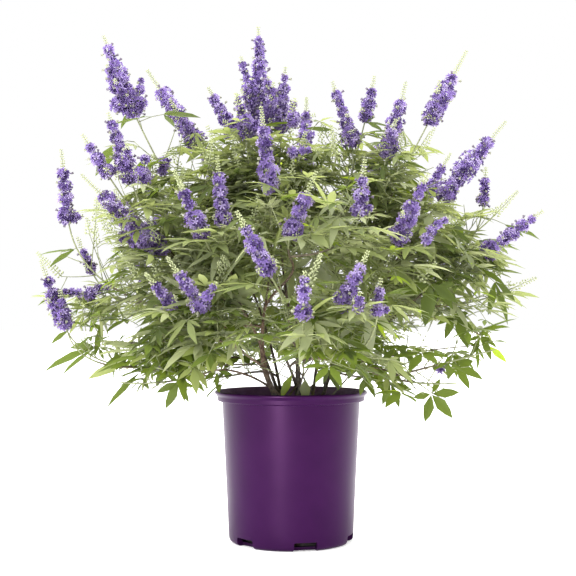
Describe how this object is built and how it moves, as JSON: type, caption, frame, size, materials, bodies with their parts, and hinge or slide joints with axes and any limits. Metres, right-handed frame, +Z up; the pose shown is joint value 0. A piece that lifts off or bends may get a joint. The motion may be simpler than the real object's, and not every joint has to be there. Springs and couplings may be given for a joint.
{
  "type": "potted chaste tree",
  "caption": "Flowering shrub of several stems with palmate leaves and upright violet flower spikes, in a round plastic nursery pot.",
  "frame": {"origin": "middle of the pot's flat underside, on the ground", "axes": "+Z up, -Y towards the viewer, +X to the viewer's right"},
  "size_m": [0.7602, 0.6821, 0.768],
  "materials": {
    "pot": "moulded, satin",
    "potting_mix": "loose bark and peat",
    "bark": "fine ridged bark",
    "foliage": "matt leaf",
    "blossom": "matt petal"
  },
  "bodies": {
    "root": {"pot": "pot", "potting_mix": "potting_mix", "stem_main": "bark", "stem_left": "bark", "stem_crown": "bark", "stem_right": "bark", "stem_front": "bark", "stem_back_left": "bark", "stem_back_right": "bark", "stem_back": "bark", "bough_shoulder_left": "bark", "bough_flank_left": "bark", "bough_front_left_high": "bark", "bough_low_left": "bark", "bough_low_front_left": "bark", "bough_front_left": "bark", "bough_top_left": "bark", "bough_front": "bark", "bough_low_front_right": "bark", "bough_top_right": "bark", "bough_shoulder_right": "bark", "bough_flank_right": "bark", "bough_front_right": "bark", "bough_skirt_right": "bark", "bough_rim_right": "bark", "bough_skirt_left": "bark", "bough_back_left": "bark", "bough_back": "bark", "bough_back_right": "bark", "bough_skirt_back_left": "bark", "bough_skirt_back_right": "bark", "foliage_crest_left": "foliage", "foliage_shoulder_left": "foliage", "foliage_flank_left": "foliage", "foliage_front_left_high": "foliage", "foliage_low_left": "foliage", "foliage_low_front_left": "foliage", "foliage_front_left": "foliage", "foliage_top_left": "foliage", "foliage_crown": "foliage", "foliage_front_high": "foliage", "foliage_low_front": "foliage", "foliage_low_front_right": "foliage", "foliage_front": "foliage", "foliage_top_right": "foliage", "foliage_crest_right": "foliage", "foliage_shoulder_right": "foliage", "foliage_flank_right": "foliage", "foliage_front_right": "foliage", "foliage_skirt_right": "foliage", "foliage_rim_right": "foliage", "foliage_skirt_left": "foliage", "foliage_back_left_high": "foliage", "foliage_back_high": "foliage", "foliage_back_right_high": "foliage", "foliage_back_left": "foliage", "foliage_back": "foliage", "foliage_back_right": "foliage", "foliage_skirt_back_left": "foliage", "foliage_skirt_back_right": "foliage"}
  },
  "joints": []
}
